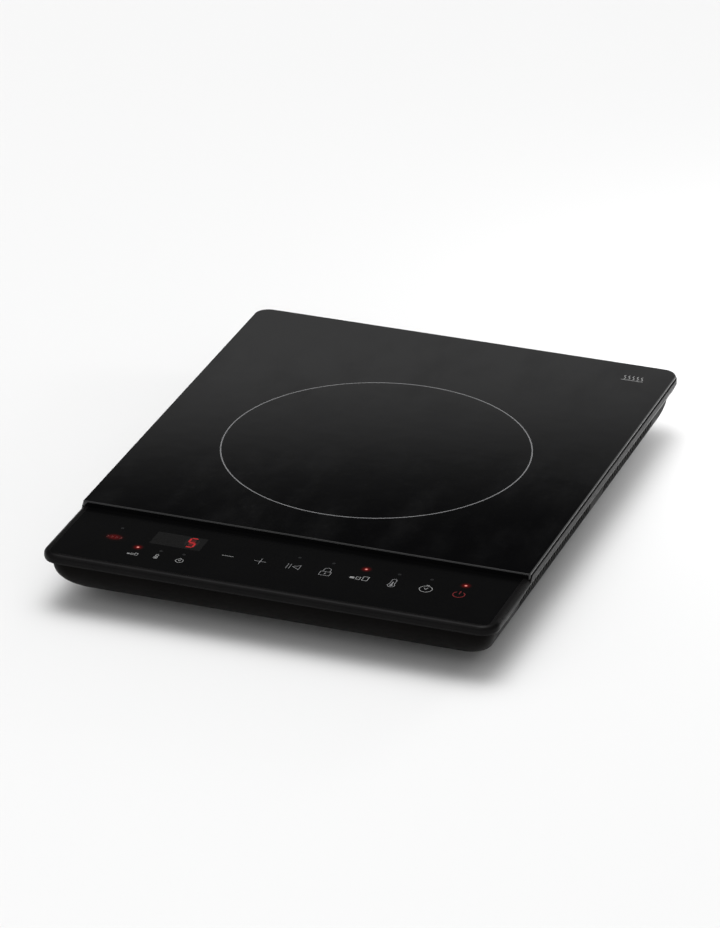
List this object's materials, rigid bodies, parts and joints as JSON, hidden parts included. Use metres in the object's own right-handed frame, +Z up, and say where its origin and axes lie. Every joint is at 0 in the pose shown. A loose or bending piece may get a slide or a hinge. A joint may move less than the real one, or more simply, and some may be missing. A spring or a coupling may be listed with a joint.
{
  "type": "induction cooktop",
  "caption": "Portable single-zone induction cooktop: black glass plate in a moulded frame over a curved vented shell, with a lower touch control strip.",
  "frame": {"origin": "centre of the footprint, on the surface the feet stand on", "axes": "+X to the right seen from the control strip, +Y from the control strip to the back, +Z up"},
  "size_m": [0.297, 0.3844, 0.044],
  "materials": {
    "black_glass": "polished black ceramic glass",
    "frame_plastic": "satin black moulded plastic",
    "panel_film": "satin black film",
    "window_lens": "smoked grey lens",
    "housing_plastic": "fine grained black plastic",
    "foot_rubber": "matt black rubber",
    "silicone": "black silicone",
    "screw_steel": "zinc plated",
    "sheet_aluminium": "mill finish",
    "ferrite": "dark grey sintered",
    "nylon_natural": "natural heat resistant plastic",
    "copper": "enamelled copper wire",
    "mica": "pressed mica",
    "white_silicone": "white silicone",
    "circuit_board": "green solder mask",
    "component_black": "moulded epoxy",
    "component_yellow": "film capacitor case",
    "component_blue": "sleeve",
    "fan_plastic": "glass filled black plastic",
    "magnet": "bonded ferrite",
    "bronze": "sintered bronze",
    "steel": "ground steel",
    "fuse_glass": "clear tube",
    "lamp_red": "tinted lamp lens",
    "lead_white": "silicone sleeve",
    "ribbon_grey": "flat cable"
  },
  "bodies": {
    "base": {"glass_plate": "black_glass", "glass_seal": "silicone", "upper_frame": "frame_plastic", "control_panel": "panel_film", "display_window": "window_lens", "lower_housing": "housing_plastic", "housing_screws": "screw_steel", "cord_bush": "silicone", "cord_clamp": "nylon_natural", "clamp_screws": "screw_steel", "coil_tray": "sheet_aluminium", "ferrite_bars": "ferrite", "coil_former": "nylon_natural", "induction_coil": "copper", "mica_sheet": "mica", "sensor_holder": "white_silicone", "thermal_sensor": "component_black", "coil_screws": "screw_steel", "coil_leads": "lead_white", "fan_frame": "fan_plastic", "fan_stator": "steel", "fan_windings": "copper", "fan_bearing": "bronze", "fan_screws": "screw_steel", "power_board": "circuit_board", "board_screws": "screw_steel", "heatsink": "sheet_aluminium", "power_transistor": "component_black", "bridge_rectifier": "component_black", "resonance_capacitor": "component_black", "smoothing_capacitor": "component_yellow", "filter_capacitor": "component_yellow", "filter_choke": "copper", "electrolytic_capacitors": "component_blue", "supply_transformer": "component_yellow", "power_relay": "component_black", "mains_terminal": "nylon_natural", "glass_fuse": "fuse_glass", "fuse_clips": "screw_steel", "ribbon_socket": "nylon_natural", "control_ribbon": "ribbon_grey", "control_bracket": "fan_plastic", "bracket_screws": "screw_steel", "control_board": "circuit_board", "touch_springs": "bronze", "display_module": "component_black", "indicator_leds": "lamp_red", "buzzer": "component_black", "foot_front_left": "foot_rubber", "foot_front_right": "foot_rubber", "foot_rear_left": "foot_rubber", "foot_rear_right": "foot_rubber"},
    "fan_rotor": {"fan_impeller": "fan_plastic", "fan_shaft": "steel", "fan_magnet": "magnet"}
  },
  "joints": [
    {"name": "fan_spin", "type": "hinge", "parent": "base", "child": "fan_rotor", "pos_m": [-0.088, 0.124, 0.02], "axis": [0, 0, 1], "continuous": true}
  ]
}
